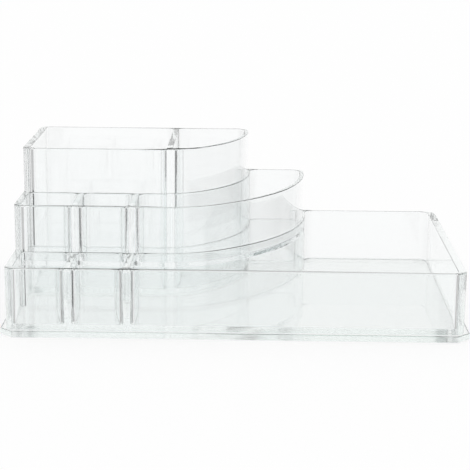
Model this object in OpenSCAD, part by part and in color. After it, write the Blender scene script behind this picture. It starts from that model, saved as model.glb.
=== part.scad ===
// Clear vanity organizer: three nested bins of rising height, bonded side by side on a base plate.
// Inside the modules X runs from the left outer wall, Y from the front outer wall and Z from the table.
// The finished part has its origin under the middle of the base plate.

/* [Base plate] */
// Thickness of the plate
plate_t = 3.3; // [2.5:0.1:5]
// How far the plate stands out beyond the walls, all round
plate_lip = 3; // [2:0.5:6]
// Leg of the straight cut across each corner of the plate
plate_cut = 6.5; // [4:0.5:9]

/* [Body] */
// Width over the outer walls
body_w = 230; // [200:5:270]
// Depth over the outer walls
body_d = 150; // [135:5:180]
// Thickness of the outer walls
wall_t = 2.5; // [1.8:0.1:3.2]
// Thickness of the floors
floor_t = 2.5; // [1.8:0.1:4]
// Thickness of the inner wall with which a lower bin hugs its taller neighbour
liner_t = 1.2; // [0.8:0.1:2]
// Outer radius of the upright corners at the front and at the rear left
front_corner_r = 4.5; // [3.5:0.5:6]
// Outer radius of the upright corners at the rear right
rear_corner_r = 7; // [4:0.5:9]
// Inner radius where a lower bin's rear wall meets its taller neighbour
joint_r = 5; // [2:0.5:7]
// Straight run of each curved wall just before it reaches the rear wall
rear_run = 12; // [10.5:0.5:20]

/* [Tray] */
// Height of the tray's rim above the table
tray_h = 34.7; // [25:0.1:50]
// Clear width of the lipstick slot at the left wall, in the tray and in the middle bin
slot_w = 27; // [20:0.1:30]
// Distance from that slot's divider to the next one, centre to centre
slot_pitch = 29.7; // [25:0.1:33]

/* [Middle bin] */
// Height of the rim above the table
middle_h = 58.9; // [45:0.1:75]
// Height of the raised floor's top above the table
middle_floor_top = 29.5; // [15:0.5:40]
// Distance from the tray's front face to this bin's front face
middle_setback = 36.4; // [28:0.2:40]
// Width of the straight front, from the left outer wall
middle_straight_w = 78.5; // [74:0.5:90]
// Outer radius of the nose that starts the curved wall
middle_nose_r = 44.5; // [30:0.5:55]
// Angle that the nose turns through before the wider sweep takes over
middle_nose_angle = 35; // [25:1:50]

/* [Tall bin] */
// Height of the rim above the table
tall_h = 82.8; // [65:0.1:110]
// Distance from the middle bin's front face to this bin's front face
tall_setback = 36.5; // [28:0.2:42]
// Width of the straight front, from the left outer wall
tall_straight_w = 72.5; // [70:0.5:84]
// Outer radius of the nose that starts the curved wall
tall_nose_r = 34; // [26:0.5:38]
// Angle that the nose turns through before the wider sweep takes over
tall_nose_angle = 42; // [30:1:50]
// Clear width of the large compartment left of the divider
tall_room_w = 74.3; // [55:0.1:82]

/* [Dividers] */
// Thickness of a divider
divider_t = 3.2; // [1.6:0.1:4]
// Radius of the coves where a divider runs into the walls
cove_r = 4; // [0.8:0.1:4.5]

/* [Hidden] */
$fn = 96;

clear_plastic = [0.90, 0.94, 0.95, 0.45];
clear_plate = [0.82, 0.88, 0.90, 0.55];

// Overrun of every cut past the face that it opens
over = 1;
// How far the coves of the slanted foot dip into the curved wall, so that each ends in a clean edge
cove_dip = 0.05;
// Steps of a small upright corner, and the turn of one step along the wide curves
corner_steps = 8;
curve_step_a = 3;

middle_y = middle_setback;
tall_y = middle_y + tall_setback;

// A D-shaped plan is [front face, straight width, nose radius, nose angle]
MIDDLE = [middle_y, middle_straight_w, middle_nose_r, middle_nose_angle];
TALL = [tall_y, tall_straight_w, tall_nose_r, tall_nose_angle];

first_divider_x = wall_t + slot_w + divider_t / 2;
second_divider_x = first_divider_x + slot_pitch;
tall_divider_x = wall_t + tall_room_w + divider_t / 2;

// Radius of the wide sweep, which ends square to the rear wall, rear_run in front of it
function sweep_r(d) = (body_d - rear_run - d[0] - d[2] * (1 - cos(d[3]))) / cos(d[3]);
// Outer face of the curved wall where it runs straight to the rear
function reach(d) = d[1] + d[2] * sin(d[3]) + sweep_r(d) * (1 - sin(d[3]));
// Y of the front and nose of a D, at x, when its outline is moved inwards by inset
function nose_y(d, x, inset) =
    x <= d[1] ? d[0] + inset : d[0] + d[2] - sqrt(pow(d[2] - inset, 2) - pow(x - d[1], 2));

// Points along an arc, from its first end or from the first step after it
function arc(centre, r, from_a, to_a, steps, first = 0) =
    [for (i = [first:steps]) let (a = from_a + (to_a - from_a) * i / steps) centre + r * [cos(a), sin(a)]];
function reversed(points) = [for (i = [len(points) - 1:-1:0]) points[i]];

// Rounded corners of the outer walls, moved inwards by inset, in the order of a walk round the plan
function front_left(y, inset) =
    arc([front_corner_r, y + front_corner_r], front_corner_r - inset, 180, 270, corner_steps);
function front_right(inset) =
    arc([body_w - front_corner_r, front_corner_r], front_corner_r - inset, 270, 360, corner_steps);
function rear_right(x, inset) =
    arc([x - rear_corner_r, body_d - rear_corner_r], rear_corner_r - inset, 0, 90, corner_steps);
function rear_left(inset) =
    arc([front_corner_r, body_d - front_corner_r], front_corner_r - inset, 90, 180, corner_steps);

// Nose and sweep of a D, moved inwards by inset
function bend(d, inset) = concat(
    arc([d[1], d[0] + d[2]], d[2] - inset, -90, d[3] - 90, ceil(d[3] / curve_step_a)),
    arc([reach(d) - sweep_r(d), body_d - rear_run], sweep_r(d) - inset, d[3] - 90, 0,
        ceil((90 - d[3]) / curve_step_a), first = 1)
);
// The free side of a D, from the left wall round to the rear wall
function free_side(d, inset) = concat(
    front_left(d[0], inset), bend(d, inset), rear_right(reach(d), inset)
);
// The side of a room that runs along a taller D and its liner, from the rear wall back to the left wall
function liner_side(d) =
    let (small_r = front_corner_r - wall_t)
    concat(
        arc([reach(d) + liner_t + joint_r, body_d - wall_t - joint_r], joint_r, 90, 180, corner_steps),
        reversed(bend(d, -liner_t)),
        arc([front_corner_r, d[0] - liner_t - small_r], small_r, 90, 180, corner_steps)
    );

// Plans of the three bins over their walls, and of the rooms inside them
tray_plan = concat(
    front_left(0, 0), front_right(0), rear_right(body_w, 0), reversed(free_side(MIDDLE, 0))
);
tray_room = concat(
    front_left(0, wall_t), front_right(wall_t), rear_right(body_w, wall_t), liner_side(MIDDLE)
);
middle_plan = concat(free_side(MIDDLE, 0), reversed(free_side(TALL, 0)));
middle_room = concat(free_side(MIDDLE, wall_t), liner_side(TALL));
tall_plan = concat(free_side(TALL, 0), rear_left(0));
tall_room = concat(free_side(TALL, wall_t), rear_left(wall_t));

// Moves the corner of the outer walls to its place round the origin
module placed() {
    translate([-body_w / 2, -body_d / 2, 0]) children();
}

// A prism on a plan that is a list of points
module prism(plan, from_z, to_z) {
    translate([0, 0, from_z]) linear_extrude(to_z - from_z) polygon(plan);
}

// Cove in the corner between two straight faces; way points from the corner to the middle of its arc
module cove(corner, way) {
    difference() {
        translate([min(corner.x, corner.x + way.x * cove_r), min(corner.y, corner.y + way.y * cove_r)])
            square(cove_r);
        translate(corner + cove_r * way) circle(cove_r);
    }
}

// Plan of a divider between two straight walls, with a cove on both sides of each end
module divider_plan(x, front, rear) {
    translate([x - divider_t / 2, front]) square([divider_t, rear - front]);
    for (side = [-1, 1]) {
        cove([x + side * divider_t / 2, front], [side, 1]);
        cove([x + side * divider_t / 2, rear], [side, -1]);
    }
}

// Plan of the tall bin's divider, whose front end meets the curve of the nose
module nose_divider_plan(d, x) {
    rear = body_d - wall_t;
    intersection() {
        union() {
            translate([x - divider_t / 2, d[0]]) square([divider_t, rear - d[0]]);
            for (side = [-1, 1]) {
                face_x = x + side * divider_t / 2;
                cove_x = face_x + side * cove_r;
                inset = wall_t + cove_r - cove_dip;
                cove_y = nose_y(d, cove_x, inset);
                // The arc meets the sloping wall a little beside its own centre
                lean = max(cove_x - d[1], 0) / (d[2] - inset);
                foot_x = cove_x + cove_r * lean;
                difference() {
                    translate([min(face_x, foot_x), d[0]]) square([abs(foot_x - face_x), cove_y - d[0]]);
                    translate([cove_x, cove_y]) circle(cove_r);
                }
                cove([face_x, rear], [side, -1]);
            }
        }
        polygon(tall_room);
    }
}

module base_plate() {
    w = body_w / 2 + plate_lip;
    d = body_d / 2 + plate_lip;
    color(clear_plate) linear_extrude(plate_t) polygon([
        [plate_cut - w, -d], [w - plate_cut, -d], [w, plate_cut - d], [w, d - plate_cut],
        [w - plate_cut, d], [plate_cut - w, d], [-w, d - plate_cut], [-w, plate_cut - d]
    ]);
}

module tray() {
    color(clear_plastic) placed() difference() {
        prism(tray_plan, plate_t, tray_h);
        prism(tray_room, plate_t + floor_t, tray_h + over);
    }
}

module front_divider(x) {
    color(clear_plastic) placed() translate([0, 0, plate_t + floor_t])
        linear_extrude(tray_h - plate_t - floor_t) divider_plan(x, wall_t, middle_y - liner_t);
}

// The middle bin is open below its raised floor, and its walls stand on the base plate
module middle_bin() {
    color(clear_plastic) placed() difference() {
        prism(middle_plan, plate_t, middle_h);
        prism(middle_room, plate_t - over, middle_h + over);
    }
}

module middle_floor() {
    color(clear_plastic) placed() prism(middle_room, middle_floor_top - floor_t, middle_floor_top);
}

module middle_divider(x) {
    color(clear_plastic) placed() translate([0, 0, middle_floor_top])
        linear_extrude(middle_h - middle_floor_top) divider_plan(x, middle_y + wall_t, tall_y - liner_t);
}

module tall_bin() {
    color(clear_plastic) placed() difference() {
        prism(tall_plan, plate_t, tall_h);
        prism(tall_room, plate_t + floor_t, tall_h + over);
    }
}

module tall_divider() {
    color(clear_plastic) placed() translate([0, 0, plate_t + floor_t])
        linear_extrude(tall_h - plate_t - floor_t) nose_divider_plan(TALL, tall_divider_x);
}

base_plate();
tray();
front_divider(first_divider_x);  // front_divider_left
front_divider(second_divider_x);  // front_divider_right
middle_bin();
middle_floor();
middle_divider(first_divider_x);  // middle_divider_left
middle_divider(second_divider_x);  // middle_divider_right
tall_bin();
tall_divider();
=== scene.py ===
import math

import bmesh
import bpy
from mathutils import Matrix, Vector


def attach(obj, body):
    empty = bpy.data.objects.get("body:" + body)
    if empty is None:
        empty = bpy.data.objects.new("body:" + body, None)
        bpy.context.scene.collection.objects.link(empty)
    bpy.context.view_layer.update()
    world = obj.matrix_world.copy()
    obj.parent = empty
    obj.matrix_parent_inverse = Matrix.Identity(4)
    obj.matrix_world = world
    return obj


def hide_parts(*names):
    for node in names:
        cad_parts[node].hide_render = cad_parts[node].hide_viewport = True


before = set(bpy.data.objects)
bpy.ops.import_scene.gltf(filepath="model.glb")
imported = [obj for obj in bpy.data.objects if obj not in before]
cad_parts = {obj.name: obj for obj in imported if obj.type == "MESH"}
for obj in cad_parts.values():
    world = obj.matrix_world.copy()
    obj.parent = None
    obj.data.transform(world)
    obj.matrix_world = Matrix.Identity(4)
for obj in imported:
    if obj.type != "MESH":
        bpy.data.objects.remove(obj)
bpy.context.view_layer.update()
mm = 0.001

# Sizes in millimetres; x runs from the left outer wall, y from the front outer wall, z from the table
organizer = {"width": 230, "depth": 150, "wall": 2.5, "floorTop": 5.8, "liner": 1.2, "plateTop": 3.3,
             "frontR": 4.5, "tightR": 2, "rearR": 7, "jointR": 5, "rearRun": 12,
             "rearTip": 3, "leftTip": 2.5,  # flat ends of a bin's outline, beside its taller neighbour
             "lean": 0.0085,  # draft of the side walls, as a slope
             "bond": 0.03,  # how far bonded faces run into each other
             "over": 1,  # overrun of every cut past the face that it opens
             "rimR": 0.85, "rimSteps": 3,
             "sideRim": 0.22,  # share of the rims' rounding that the side walls get
             "rimZone": 1,  # depth below a rim that leans out with it
             "footR": 0.25, "footSteps": 4,
             "turnStep": 1.5, "cornerSteps": 10,  # degrees of a step along the wide curves, steps of a corner
             "smoothTo": 40,  # sharpest turn, in degrees, that is shaded smooth
             "near": 0.01, "tipZone": 0.1, "merge": 0.002, "slant": 0.1}  # tolerances

# Plans of the bins: side is the thickness of the side wall, roomR the cove in the room's front corner
tray = {"top": 34.7, "side": 3.8, "roomR": 2.5, "rearFootR": 1.4, "rearFootSteps": 5, "sideFoot": 0.1}
middleD = {"front": 36.4, "straight": 78.5, "noseR": 44.5, "noseAngle": 35, "side": 3.2, "roomR": 3.5}
tallD = {"front": 72.9, "straight": 72.5, "noseR": 34, "noseAngle": 42, "side": 3.3, "roomR": 4}
originX, originY = organizer["width"] / 2, organizer["depth"] / 2


# Small helpers for modelling as by hand

def deselectAll():
    if bpy.context.mode != "OBJECT":
        bpy.ops.object.mode_set(mode="OBJECT")
    bpy.ops.object.select_all(action="DESELECT")


def makeActive(piece):
    deselectAll()
    piece.select_set(True)
    bpy.context.view_layer.objects.active = piece


def drawOutline(name, moves, z):  # a flat face whose edge follows the moves of a pen
    x, y = moves[0][1:3]
    deselectAll()
    bpy.ops.mesh.primitive_plane_add(size=mm, location=((x - originX) * mm, (y - originY) * mm, z * mm))
    piece = bpy.context.object
    piece.name = name
    bpy.ops.object.transform_apply(location=True)
    bpy.ops.object.mode_set(mode="EDIT")
    bpy.ops.mesh.select_mode(type="VERT")
    bpy.ops.mesh.select_all(action="SELECT")
    bpy.ops.mesh.merge(type="CENTER")
    for move in moves[1:]:
        if move[0] == "line":
            toX, toY = move[1:3]
            if math.hypot(toX - x, toY - y) > 1e-6:
                bpy.ops.mesh.extrude_region_move(
                    TRANSFORM_OT_translate={"value": ((toX - x) * mm, (toY - y) * mm, 0)})
            x, y = toX, toY
        else:
            centreX, centreY, turn, steps = move[1:5]
            bpy.ops.mesh.spin(steps=steps, angle=-math.radians(turn), axis=(0, 0, 1),
                              center=((centreX - originX) * mm, (centreY - originY) * mm, z * mm))
            c, s = math.cos(math.radians(turn)), math.sin(math.radians(turn))
            x, y = (centreX + (x - centreX) * c - (y - centreY) * s,
                    centreY + (x - centreX) * s + (y - centreY) * c)
    bpy.ops.mesh.select_all(action="SELECT")
    bpy.ops.mesh.remove_doubles(threshold=organizer["merge"] * mm)
    bpy.ops.mesh.edge_face_add()
    return piece


def drawPrism(name, moves, fromZ, toZ):
    piece = drawOutline(name, moves, fromZ)
    bpy.ops.mesh.extrude_region_move(TRANSFORM_OT_translate={"value": (0, 0, (toZ - fromZ) * mm)})
    bpy.ops.mesh.select_all(action="SELECT")
    bpy.ops.mesh.normals_make_consistent(inside=False)
    bpy.ops.object.mode_set(mode="OBJECT")
    return piece


def combine(piece, other, operation):
    makeActive(piece)
    bpy.ops.object.modifier_add(type="BOOLEAN")
    boolean = piece.modifiers[-1]
    boolean.operation, boolean.solver, boolean.object = operation, "EXACT", other
    bpy.ops.object.modifier_apply(modifier=boolean.name)
    bpy.data.objects.remove(other)


def cutAway(piece, cutter):
    combine(piece, cutter, "DIFFERENCE")


def mouldOn(piece, addition):  # joins a part of the same moulding, so that no face is left inside the plastic
    combine(piece, addition, "UNION")


def splitFlats(piece):  # as triangles, a flat face with openings stays whole when its edges are rounded
    makeActive(piece)
    bpy.ops.object.mode_set(mode="EDIT")
    bpy.ops.mesh.select_mode(type="FACE")
    bpy.ops.mesh.select_all(action="DESELECT")
    bpy.ops.mesh.select_face_by_sides(number=4, type="GREATER")
    bpy.ops.mesh.quads_convert_to_tris(ngon_method="BEAUTY")
    bpy.ops.object.mode_set(mode="OBJECT")


def roundEdges(piece, height, radius, segments, wanted, share):
    # Rounds the edges at one height where a flat and an upright face meet, each by its share of the radius
    makeActive(piece)
    bpy.ops.object.mode_set(mode="EDIT")
    mesh = bmesh.from_edit_mesh(piece.data)
    shares = mesh.edges.layers.float.get("bevel_weight_edge")
    if shares is None:
        shares = mesh.edges.layers.float.new("bevel_weight_edge")
    count = 0
    for edge in mesh.edges:
        edge[shares] = 0
        if len(edge.link_faces) != 2:
            continue
        if any(abs(v.co.z - height * mm) > organizer["near"] * mm for v in edge.verts):
            continue
        upright, flat = sorted(abs(face.normal.z) for face in edge.link_faces)
        start, end = (v.co for v in edge.verts)
        middleX, middleY = (start.x + end.x) / 2 / mm + originX, (start.y + end.y) / 2 / mm + originY
        if upright < organizer["slant"] and flat > 1 - organizer["slant"] and wanted(middleX, middleY):
            edge[shares] = share(middleY, abs(start.x - end.x) / edge.calc_length())
            count += 1
    bmesh.update_edit_mesh(piece.data)
    bpy.ops.object.mode_set(mode="OBJECT")
    bpy.ops.object.modifier_add(type="BEVEL")
    rounding = piece.modifiers[-1]
    rounding.limit_method, rounding.width, rounding.segments = "WEIGHT", radius * mm, segments
    rounding.use_clamp_overlap = False
    bpy.ops.object.modifier_apply(modifier=rounding.name)
    return count


def everywhere(x, y):
    return True


def evenly(y, across):
    return 1


def mostAcross(y, across):  # the side walls' rims are crisper than those across the front and the rear
    return organizer["sideRim"] + (1 - organizer["sideRim"]) * across


def mostAtRear(y, across):  # the rear wall's foot is rounder than the others
    fromY, toY = organizer["depth"] - organizer["rearR"], organizer["depth"] - organizer["wall"]
    return tray["sideFoot"] + (1 - tray["sideFoot"]) * min(max((y - fromY) / (toY - fromY), 0), 1)


def roundRim(piece, top, wanted):
    return roundEdges(piece, top, organizer["rimR"], organizer["rimSteps"], wanted, mostAcross)


def roundFeet(piece, floorTop):
    return roundEdges(piece, floorTop, organizer["footR"], organizer["footSteps"], everywhere, evenly)


def leanOut(piece, top, sides):  # draft: the rim's sides stand a little further out than the foot
    for side in sides:
        makeActive(piece)
        bpy.ops.object.mode_set(mode="EDIT")
        bpy.ops.mesh.select_mode(type="VERT")
        bpy.ops.mesh.select_all(action="DESELECT")
        mesh = bmesh.from_edit_mesh(piece.data)
        fromX = (originX - organizer["frontR"]) * mm
        for v in mesh.verts:
            v.select_set(v.co.z > (top - organizer["rimZone"]) * mm
                         and v.co.x * side > fromX + organizer["near"] * mm)
        mesh.select_flush_mode()
        bmesh.update_edit_mesh(piece.data)
        stretch = 1 + organizer["lean"] * top / organizer["frontR"]
        bpy.ops.transform.resize(value=(stretch, 1, 1), center_override=(fromX * side, 0, 0))
        bpy.ops.object.mode_set(mode="OBJECT")


def finishPiece(piece, nodes, material):
    makeActive(piece)
    bpy.ops.object.mode_set(mode="EDIT")
    bpy.ops.mesh.select_mode(type="VERT")
    bpy.ops.mesh.select_all(action="SELECT")
    bpy.ops.mesh.remove_doubles(threshold=organizer["merge"] * mm)
    bpy.ops.mesh.normals_make_consistent(inside=False)
    bpy.ops.object.mode_set(mode="OBJECT")
    bpy.ops.object.shade_smooth_by_angle(angle=math.radians(organizer["smoothTo"]))
    bpy.ops.object.modifier_add(type="WEIGHTED_NORMAL")  # flat walls stay flat up to their rounded edges
    piece.modifiers[-1].keep_sharp = True
    bpy.ops.object.modifier_apply(modifier=piece.modifiers[-1].name)
    piece.data.materials.clear()
    piece.data.materials.append(material)
    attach(piece, "root")
    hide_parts(*nodes)
    check = bmesh.new()
    check.from_mesh(piece.data)
    openEdges = sum(1 for edge in check.edges if not edge.is_manifold)
    print(f"{piece.name}: {len(piece.data.polygons)} faces, {openEdges} open edges,",
          f"volume {check.calc_volume() / mm ** 3:.1f} mm3")
    check.free()


# Outlines of the bins

def sweepR(d):
    a = math.radians(d["noseAngle"])
    afterNose = organizer["depth"] - organizer["rearRun"] - d["front"] - d["noseR"] * (1 - math.cos(a))
    return afterNose / math.cos(a)


def reach(d):
    a = math.radians(d["noseAngle"])
    return d["straight"] + d["noseR"] * math.sin(a) + sweepR(d) * (1 - math.sin(a))


def bendArcs(d, back):  # nose and sweep of a D, forwards from its front or back from its side
    noseTurn, sweepTurn, step = d["noseAngle"], 90 - d["noseAngle"], organizer["turnStep"]
    way = -1 if back else 1
    arcs = [("arc", d["straight"], d["front"] + d["noseR"], way * noseTurn, round(noseTurn / step)),
            ("arc", reach(d) - sweepR(d), organizer["depth"] - organizer["rearRun"], way * sweepTurn,
             round(sweepTurn / step))]
    return arcs[::-1] if back else arcs


def freeSide(d, inset):  # from the left wall round the front and the curve to the rear wall
    o = organizer
    if inset:  # a room, with a cove in its front corner
        left, cornerY = d["side"] + inset - o["wall"], d["front"] + inset + d["roomR"]
        cornerX = left + d["roomR"]
    else:
        left, cornerX, cornerY = 0, o["frontR"], d["front"] + o["frontR"]
    return [("start", left, cornerY),
            ("arc", cornerX, cornerY, 90, o["cornerSteps"]),
            ("line", d["straight"], d["front"] + inset),
            *bendArcs(d, False),
            ("line", reach(d) - inset, o["depth"] - o["rearR"]),
            ("arc", reach(d) - o["rearR"], o["depth"] - o["rearR"], 90, o["cornerSteps"])]


def alongNeighbour(d):  # back along the taller D, from the rear wall to the left wall
    o = organizer
    bond = o["bond"]
    return [("line", reach(d) - o["rearR"] + o["rearTip"], o["depth"]),
            ("line", reach(d) - o["rearR"], o["depth"]),
            ("line", reach(d) - o["rearR"], o["depth"] - bond),
            ("arc", reach(d) - o["rearR"], o["depth"] - o["rearR"], -90, o["cornerSteps"]),
            ("line", reach(d) - bond, o["depth"] - o["rearRun"]),
            *bendArcs(d, True),
            ("line", o["frontR"], d["front"] + bond),
            ("arc", o["frontR"], d["front"] + o["frontR"], -90, o["cornerSteps"]),
            ("line", 0, d["front"] + o["frontR"]),
            ("line", 0, d["front"] + o["frontR"] - o["leftTip"])]


def linerSide(d, side, grow):  # inner face of the liner, from the rear wall back to the left wall
    o = organizer
    liner, jointR, smallR = o["liner"] - grow, o["jointR"] + grow, o["tightR"] + grow
    joint = (reach(d) + o["liner"] + o["jointR"], o["depth"] - o["wall"] - o["jointR"])
    small = (side + o["tightR"], d["front"] - o["liner"] - o["tightR"])
    return [("line", joint[0], joint[1] + jointR),
            ("arc", joint[0], joint[1], 90, o["cornerSteps"]),
            ("line", reach(d) + liner, o["depth"] - o["rearRun"]),
            *bendArcs(d, True),
            ("line", small[0], small[1] + smallR),
            ("arc", small[0], small[1], 90, o["cornerSteps"])]


def closed(moves):
    return [*moves, ("line", *moves[0][1:3])]


def trayOutline():
    o = organizer
    return [("start", 0, o["frontR"]),
            ("arc", o["frontR"], o["frontR"], 90, o["cornerSteps"]),
            ("line", o["width"] - o["frontR"], 0),
            ("arc", o["width"] - o["frontR"], o["frontR"], 90, o["cornerSteps"]),
            ("line", o["width"], o["depth"] - o["rearR"]),
            ("arc", o["width"] - o["rearR"], o["depth"] - o["rearR"], 90, o["cornerSteps"]),
            *alongNeighbour(middleD)]


def trayRoom():
    o = organizer
    wall, side = o["wall"], tray["side"]
    cornerX, cornerY = side + tray["roomR"], wall + tray["roomR"]
    rearR = o["rearR"] - wall
    return [("start", side, cornerY),
            ("arc", cornerX, cornerY, 90, o["cornerSteps"]),
            ("line", o["width"] - cornerX, wall),
            ("arc", o["width"] - cornerX, cornerY, 90, o["cornerSteps"]),
            ("line", o["width"] - side, o["depth"] - o["rearR"]),
            ("arc", o["width"] - side - rearR, o["depth"] - o["rearR"], 90, o["cornerSteps"]),
            *linerSide(middleD, side, 0)]


def middleRoom(grow):
    return [*freeSide(middleD, organizer["wall"] - grow), *linerSide(tallD, middleD["side"], grow)]


def tallOutline(inset):
    o = organizer
    cornerX = tallD["side"] + o["tightR"] if inset else o["frontR"]
    return [*freeSide(tallD, inset),
            ("line", cornerX, o["depth"] - inset),
            ("arc", cornerX, o["depth"] - o["frontR"], 90, o["cornerSteps"])]


def inside(d, x, y):  # whether a point is inside a D
    o = organizer
    near = o["near"]
    if x < near or y < d["front"] + near:
        return False
    noseX, noseY = d["straight"], d["front"] + d["noseR"]
    sweepX, sweepY = reach(d) - sweepR(d), o["depth"] - o["rearRun"]
    if x > noseX and y < noseY and math.degrees(math.atan2(x - noseX, noseY - y)) < d["noseAngle"]:
        return math.hypot(x - noseX, y - noseY) < d["noseR"] - near
    if x > sweepX and y < sweepY:
        return math.hypot(x - sweepX, y - sweepY) < sweepR(d) - near
    cornerX, cornerY = reach(d) - o["rearR"], o["depth"] - o["rearR"]
    if x > cornerX and y > cornerY:
        return math.hypot(x - cornerX, y - cornerY) < o["rearR"] - near
    return x < reach(d) - near and y < o["depth"] - near


def freeRim(d):  # a lower bin's rim is rounded where nothing taller stands against it
    o = organizer

    def wanted(x, y):
        atRearTip = y > o["depth"] - o["tipZone"] and x < reach(d) - o["rearR"] + o["rearTip"] - o["near"]
        atLeftTip = x < o["tipZone"] and y > d["front"] + o["frontR"] - o["leftTip"] + o["near"]
        return not (inside(d, x, y) or atRearTip or atLeftTip)
    return wanted


def linear(hexColour):  # sRGB hex to the linear values that the shaders take
    values = [int(hexColour[i:i + 2], 16) / 255 for i in (1, 3, 5)]
    return [v / 12.92 if v <= 0.04045 else ((v + 0.055) / 1.055) ** 2.4 for v in values] + [1.0]


def addNode(tree, kind, settings=None, links=None):  # settings and links go by a socket's name or number
    node = tree.nodes.new(kind)
    for key, value in (settings or {}).items():
        if isinstance(key, str) and hasattr(node, key):
            setattr(node, key, value)
    for key, value in (settings or {}).items():
        if isinstance(key, int) or not hasattr(node, key):
            node.inputs[key].default_value = value
    for key, source in (links or {}).items():
        tree.links.new(source, node.inputs[key])
    return node


# Crystal polystyrene, injection moulded in a polished mould: water clear and glassy. The melt left a faint
# waviness as it flowed, and handling left faint scuffs. Sizes in millimetres
clearPolystyrene = {"tint": "#FCFDFD", "ior": 1.59, "roughness": 0.015, "scuffed": 0.04,
                    "waveSize": 28, "waveStretch": (1, 1, 0.5), "waveHeight": 0.05,
                    "scuffSize": 3.5, "scuffStretch": (1, 1, 0.25), "scuffFrom": 0.56, "scuffTo": 0.72}

# Extruded polystyrene sheet, cut to size and flame polished round its edges, which left them slightly rippled
clearSheet = {"tint": "#FBFDFC", "ior": 1.59, "roughness": 0.01, "scuffed": 0.05,
              "waveSize": 9, "waveStretch": (1, 1, 0.2), "waveHeight": 0.015,
              "scuffSize": 5, "scuffStretch": (0.3, 1, 1), "scuffFrom": 0.5, "scuffTo": 0.7}


def noiseOf(tree, size, stretch):  # a cloud pattern of one size in millimetres, longer where stretch is small
    place = addNode(tree, "ShaderNodeTexCoord")
    inMm = addNode(tree, "ShaderNodeMapping", {"Scale": [k / (size * mm) for k in stretch]},
                   {"Vector": place.outputs["Object"]})
    return addNode(tree, "ShaderNodeTexNoise", {"Scale": 1.0, "Detail": 3.0, "Roughness": 0.45},
                   {"Vector": inMm.outputs[0]}).outputs[0]


def makePlastic(name, look):
    material = bpy.data.materials.new(name)
    material.use_nodes = True
    tree = material.node_tree
    shader = tree.nodes["Principled BSDF"]
    shader.inputs["Base Color"].default_value = linear(look["tint"])
    shader.inputs["Transmission Weight"].default_value = 1
    shader.inputs["IOR"].default_value = look["ior"]
    scuffs = addNode(tree, "ShaderNodeMapRange", {"From Min": look["scuffFrom"], "From Max": look["scuffTo"],
                                                  "To Min": look["roughness"], "To Max": look["scuffed"]},
                     {"Value": noiseOf(tree, look["scuffSize"], look["scuffStretch"])})
    waves = addNode(tree, "ShaderNodeBump", {"Strength": 1.0, "Distance": look["waveHeight"] * mm},
                    {"Height": noiseOf(tree, look["waveSize"], look["waveStretch"])})
    tree.links.new(scuffs.outputs[0], shader.inputs["Roughness"])
    tree.links.new(waves.outputs[0], shader.inputs["Normal"])
    return material


plastic = makePlastic("clearPolystyreneMoulded", clearPolystyrene)
sheet = makePlastic("clearPolystyreneSheetFlamePolished", clearSheet)

# Dividers are moulded in one piece with their bins
dividers = {"thickness": 3.2, "coveR": 5.2, "tallCoveR": 4, "coveSteps": 14,
            "slots": (31.1, 60.8), "tall": 78.4}  # their places, from the left outer wall


def dividerOutline(x, front, rear):
    half, r, n = dividers["thickness"] / 2, dividers["coveR"], dividers["coveSteps"]
    bond = organizer["bond"]
    return [("start", x - half - r, front - bond),
            ("line", x + half + r, front - bond),
            ("line", x + half + r, front),
            ("arc", x + half + r, front + r, -90, n),
            ("line", x + half, rear - r),
            ("arc", x + half + r, rear - r, -90, n),
            ("line", x + half + r, rear + bond),
            ("line", x - half - r, rear + bond),
            ("line", x - half - r, rear),
            ("arc", x - half - r, rear - r, -90, n),
            ("line", x - half, front + r),
            ("arc", x - half - r, front + r, -90, n)]


def noseFace(x, inset):  # y of the tall bin's nose at x, when its outline is moved inwards by inset
    radius = tallD["noseR"] - inset
    return tallD["front"] + tallD["noseR"] - math.sqrt(radius ** 2 - (x - tallD["straight"]) ** 2)


def tallDividerOutline(x):  # its foot meets the curve of the nose at a slant
    half, r, n = dividers["thickness"] / 2, dividers["tallCoveR"], dividers["coveSteps"]
    bond = organizer["bond"]
    wall, rear = organizer["wall"], organizer["depth"] - organizer["wall"]
    left, right = x - half - r, x + half + r
    # each cove touches the wall where its radius points from the nose's centre
    leftLean, rightLean = [math.asin((coveX - tallD["straight"]) / (tallD["noseR"] - wall - r))
                           for coveX in (left, right)]
    leftY, rightY = noseFace(left, wall + r), noseFace(right, wall + r)
    rightFoot = (right + r * math.sin(rightLean), rightY - r * math.cos(rightLean))
    return [("start", left + r * math.sin(leftLean), leftY - r * math.cos(leftLean) - bond),
            ("line", x + half, noseFace(x + half, wall - bond)),
            ("line", rightFoot[0], rightFoot[1] - bond),
            ("line", *rightFoot),
            ("arc", right, rightY, -90 - math.degrees(rightLean), n),
            ("line", x + half, rear - r),
            ("arc", right, rear - r, -90, n),
            ("line", right, rear + bond),
            ("line", left, rear + bond),
            ("line", left, rear),
            ("arc", left, rear - r, -90, n),
            ("line", x - half, leftY),
            ("arc", left, leftY, math.degrees(leftLean) - 90, n)]


# Tray with its two dividers
piece = drawPrism("trayBin", closed(trayOutline()), organizer["plateTop"] - organizer["bond"], tray["top"])
cutAway(piece, drawPrism("trayCutter", closed(trayRoom()),
                         organizer["floorTop"], tray["top"] + organizer["over"]))
for x in dividers["slots"]:
    outline = dividerOutline(x, organizer["wall"], middleD["front"] - organizer["liner"])
    mouldOn(piece, drawPrism("frontDivider", closed(outline),
                             organizer["floorTop"] - organizer["bond"], tray["top"]))
splitFlats(piece)
print("rounded", roundRim(piece, tray["top"], freeRim(middleD)),
      roundEdges(piece, organizer["floorTop"], tray["rearFootR"], tray["rearFootSteps"],
                 everywhere, mostAtRear))
leanOut(piece, tray["top"], (-1, 1))
finishPiece(piece, ["tray", "front_divider_left", "front_divider_right"], plastic)

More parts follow.
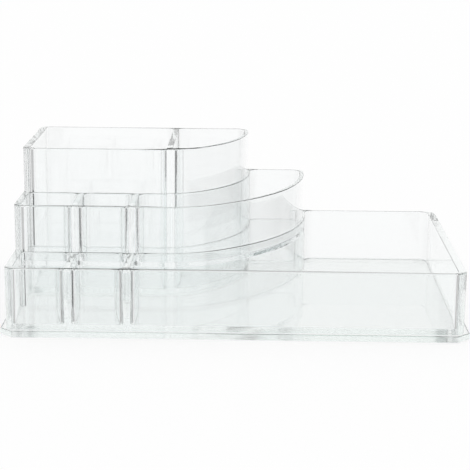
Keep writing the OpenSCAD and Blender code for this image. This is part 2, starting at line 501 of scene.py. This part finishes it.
# Middle bin with its raised floor and two dividers
middle = {"top": 58.9, "floorTop": 29.5, "floorThickness": 2.5}
middlePlan = closed([*freeSide(middleD, 0), *alongNeighbour(tallD)])
piece = drawPrism("middleBin", middlePlan, organizer["plateTop"] - organizer["bond"], middle["top"])
cutAway(piece, drawPrism("middleCutter", closed(middleRoom(0)),
                         organizer["plateTop"] - organizer["over"], middle["top"] + organizer["over"]))
mouldOn(piece, drawPrism("middleFloor", closed(middleRoom(organizer["bond"])),
                         middle["floorTop"] - middle["floorThickness"], middle["floorTop"]))
for x in dividers["slots"]:
    outline = dividerOutline(x, middleD["front"] + organizer["wall"], tallD["front"] - organizer["liner"])
    mouldOn(piece, drawPrism("middleDivider", closed(outline),
                             middle["floorTop"] - organizer["bond"], middle["top"]))
splitFlats(piece)
print("rounded", roundRim(piece, middle["top"], freeRim(tallD)), roundFeet(piece, middle["floorTop"]))
leanOut(piece, middle["top"], (-1,))
finishPiece(piece, ["middle_bin", "middle_floor", "middle_divider_left", "middle_divider_right"],
            plastic)

# Tall bin with its divider
tall = {"top": 82.8}
piece = drawPrism("tallBin", closed(tallOutline(0)), organizer["plateTop"] - organizer["bond"], tall["top"])
cutAway(piece, drawPrism("tallCutter", closed(tallOutline(organizer["wall"])),
                         organizer["floorTop"], tall["top"] + organizer["over"]))
mouldOn(piece, drawPrism("tallDivider", closed(tallDividerOutline(dividers["tall"])),
                         organizer["floorTop"] - organizer["bond"], tall["top"]))
splitFlats(piece)
print("rounded", roundRim(piece, tall["top"], everywhere), roundFeet(piece, organizer["floorTop"]))
leanOut(piece, tall["top"], (-1,))
finishPiece(piece, ["tall_bin", "tall_divider"], plastic)

# Base plate
plate = {"lip": 3, "cut": 6.5, "edgeR": 0.4, "edgeSteps": 3}


def plateOutline():
    w, d, lip, cut = organizer["width"], organizer["depth"], plate["lip"], plate["cut"]
    return [("start", cut - lip, -lip), ("line", w + lip - cut, -lip), ("line", w + lip, cut - lip),
            ("line", w + lip, d + lip - cut), ("line", w + lip - cut, d + lip), ("line", cut - lip, d + lip),
            ("line", -lip, d + lip - cut), ("line", -lip, cut - lip)]


piece = drawPrism("basePlate", closed(plateOutline()), 0, organizer["plateTop"])
print("rounded", *[roundEdges(piece, z, plate["edgeR"], plate["edgeSteps"], everywhere, evenly)
                   for z in (organizer["plateTop"], 0)])
finishPiece(piece, ["base_plate"], sheet)
print("organizer done")

# Studio: white paper under and behind the organizer, seen white straight through the clear plastic. Rays that
# were turned back inside it leave through the paper and see the room: white behind and in front, dark beside.
# A second reflection sees only the white that is straight behind
studio = {"ambient": 1.0, "glow": 0.85, "tableSize": 6, "tableDrop": 0.1,  # metres, and millimetres down
          "reflections": 1.5, "spread": 1.2,  # rays count when they were reflected once or twice
          "wallFaces": 2.45, "mostFaces": 8.5,  # fully from this many faces on, and not beyond that many
          "shallow": 0.2,  # half the steepest slope at which they see the dark
          "besideFrom": 40, "darkest": 0.02,  # degrees off the back wall, and what a second reflection sees
          "room": ((0, 1.0), (14, 1.0), (18, 0.9), (35, 0.8), (40, 0.4), (54, 0.3), (58, 0.02), (124, 0.02),
                   (130, 0.85), (160, 0.9), (166, 1.0), (180, 1.0))}  # degrees off the back wall, brightness


def seenRays(tree):  # 1 for rays by which the camera or the plastic sees the white background
    ray = addNode(tree, "ShaderNodeLightPath")
    either = addNode(tree, "ShaderNodeMath", {"operation": "MAXIMUM"},
                     {0: ray.outputs["Is Camera Ray"], 1: ray.outputs["Is Glossy Ray"]})
    return addNode(tree, "ShaderNodeMath", {"operation": "MAXIMUM"},
                   {0: either.outputs[0], 1: ray.outputs["Is Transmission Ray"]}).outputs[0]


def turnedRays(tree):  # 1 for rays turned back inside the plastic, less for those that pass two faces only
    ray = addNode(tree, "ShaderNodeLightPath")
    turned = addNode(tree, "ShaderNodeMath", {"operation": "COMPARE", 1: studio["reflections"],
                                              2: studio["spread"]}, {0: ray.outputs["Glossy Depth"]})
    through = addNode(tree, "ShaderNodeMapRange", {"From Min": 1.0, "From Max": studio["wallFaces"]},
                      {"Value": ray.outputs["Transmission Depth"]})
    few = addNode(tree, "ShaderNodeMath", {"operation": "LESS_THAN", 1: studio["mostFaces"]},
                  {0: ray.outputs["Transmission Depth"]})
    passed = addNode(tree, "ShaderNodeMath", {"operation": "MULTIPLY"},
                     {0: through.outputs[0], 1: few.outputs[0]})
    return addNode(tree, "ShaderNodeMath", {"operation": "MULTIPLY"},
                   {0: turned.outputs[0], 1: passed.outputs[0]}).outputs[0]


# Uncoated white paper, rolled out as a sweep: matt, with a fine grain of fibres
whitePaper = {"low": "#F6F6F6", "high": "#FDFDFD", "roughness": 0.9, "grain": 0.6, "relief": 0.03}

deselectAll()
bpy.ops.mesh.primitive_plane_add(size=studio["tableSize"], location=(0, 0, -studio["tableDrop"] * mm))
floor = bpy.context.object
floor.name = "tableTop"
paper = bpy.data.materials.new("whitePaperSweep")
paper.use_nodes = True
tree = paper.node_tree
lit = tree.nodes["Principled BSDF"]
lit.inputs["Roughness"].default_value = whitePaper["roughness"]
lit.inputs["Specular IOR Level"].default_value = 0
fibres = noiseOf(tree, whitePaper["grain"], (1, 1, 1))
tone = addNode(tree, "ShaderNodeMix", {"data_type": "RGBA", 6: linear(whitePaper["low"]),
                                       7: linear(whitePaper["high"])}, {"Factor": fibres})
relief = addNode(tree, "ShaderNodeBump", {"Strength": 1.0, "Distance": whitePaper["relief"] * mm},
                 {"Height": fibres})
tree.links.new(tone.outputs[2], lit.inputs["Base Color"])
tree.links.new(relief.outputs[0], lit.inputs["Normal"])
white = addNode(tree, "ShaderNodeEmission", {"Color": (1, 1, 1, 1), "Strength": 1.0})
share = addNode(tree, "ShaderNodeMath", {"operation": "MULTIPLY", 1: studio["glow"]}, {0: seenRays(tree)})
both = addNode(tree, "ShaderNodeMixShader", None,
               {0: share.outputs[0], 1: lit.outputs[0], 2: white.outputs[0]})
clear = addNode(tree, "ShaderNodeBsdfTransparent")
seeThrough = addNode(tree, "ShaderNodeMixShader", None,
                     {0: turnedRays(tree), 1: both.outputs[0], 2: clear.outputs[0]})
tree.links.new(seeThrough.outputs[0], tree.nodes["Material Output"].inputs["Surface"])
floor.data.materials.append(paper)

world = bpy.data.worlds.new("softStudio")
bpy.context.scene.world = world
world.use_nodes = True
tree = world.node_tree
tree.nodes.clear()
place = addNode(tree, "ShaderNodeTexCoord")
split = addNode(tree, "ShaderNodeSeparateXYZ", None, {0: place.outputs["Generated"]})
heading = addNode(tree, "ShaderNodeMath", {"operation": "ARCTAN2"},
                  {0: split.outputs["X"], 1: split.outputs["Y"]})
offBack = addNode(tree, "ShaderNodeMath", {"operation": "ABSOLUTE"}, {0: heading.outputs[0]})
halfTurn = addNode(tree, "ShaderNodeMath", {"operation": "DIVIDE", 1: math.pi}, {0: offBack.outputs[0]})
room = addNode(tree, "ShaderNodeValToRGB", None, {0: halfTurn.outputs[0]})
stops = room.color_ramp.elements
while len(stops) < len(studio["room"]):
    stops.new(0.5)
for stop, (angle, _) in zip(stops, studio["room"]):
    stop.position = angle / 180
for stop, (_, brightness) in zip(stops, studio["room"]):
    stop.color = (brightness, brightness, brightness, 1)
sinking = addNode(tree, "ShaderNodeMath", {"operation": "COMPARE", 1: -studio["shallow"],
                                           2: studio["shallow"]}, {0: split.outputs["Z"]})
ray = addNode(tree, "ShaderNodeLightPath")
twice = addNode(tree, "ShaderNodeMath", {"operation": "GREATER_THAN", 1: studio["reflections"]},
                {0: ray.outputs["Glossy Depth"]})
beside = addNode(tree, "ShaderNodeMath", {"operation": "GREATER_THAN", 1: studio["besideFrom"] / 180},
                 {0: halfTurn.outputs[0]})
trapped = addNode(tree, "ShaderNodeMath", {"operation": "MULTIPLY"},
                  {0: twice.outputs[0], 1: beside.outputs[0]})
roomLevel = addNode(tree, "ShaderNodeMix", {"data_type": "FLOAT", "B": studio["darkest"]},
                    {"Factor": trapped.outputs[0], "A": room.outputs[0]})
darkened = addNode(tree, "ShaderNodeMath", {"operation": "MULTIPLY"},
                   {0: turnedRays(tree), 1: sinking.outputs[0]})
level = addNode(tree, "ShaderNodeMix", {"data_type": "FLOAT", "A": 1.0},
                {"Factor": darkened.outputs[0], "B": roomLevel.outputs["Result"]})
strength = addNode(tree, "ShaderNodeMix", {"data_type": "FLOAT", "A": studio["ambient"]},
                   {"Factor": seenRays(tree), "B": level.outputs["Result"]})
backdrop = addNode(tree, "ShaderNodeBackground", {"Color": (1, 1, 1, 1)},
                   {"Strength": strength.outputs["Result"]})
addNode(tree, "ShaderNodeOutputWorld", None, {"Surface": backdrop.outputs[0]})
print("studio done")

# Camera at the photograph's place, in the frame of the base plate
photoCamera = {"target": (-3.764, -10, 38.28), "distance": 815.685,
               "pitch": 12.897, "yaw": 0.862, "roll": 0.498,
               "focal": 1520.089, "frame": 470, "centreX": 229.603,  # in pixels of the photo
               "sensor": 36, "clip": (0.01, 20)}
pitch, yaw, roll = (math.radians(photoCamera[k]) for k in ("pitch", "yaw", "roll"))
forward = Vector((-math.sin(yaw) * math.cos(pitch), math.cos(yaw) * math.cos(pitch), -math.sin(pitch)))
levelRight = Vector((math.cos(yaw), math.sin(yaw), 0))
levelUp = levelRight.cross(forward)
camRight = math.cos(roll) * levelRight + math.sin(roll) * levelUp
camUp = -math.sin(roll) * levelRight + math.cos(roll) * levelUp
cameraPlace = Vector(photoCamera["target"]) - photoCamera["distance"] * forward
turn = Matrix((camRight, camUp, -forward)).transposed()
deselectAll()
bpy.ops.object.camera_add(location=cameraPlace * mm, rotation=turn.to_euler())
camera = bpy.context.object
camera.data.sensor_width = photoCamera["sensor"]
camera.data.lens = photoCamera["focal"] / photoCamera["frame"] * photoCamera["sensor"]
camera.data.shift_x = (photoCamera["frame"] / 2 - photoCamera["centreX"]) / photoCamera["frame"]
camera.data.clip_start, camera.data.clip_end = photoCamera["clip"]
scene = bpy.context.scene
scene.camera = camera
scene.view_settings.view_transform = "Standard"
scene.cycles.max_bounces = 64  # a view along the organizer passes many faces
scene.cycles.transmission_bounces = 48
scene.cycles.glossy_bounces = 24
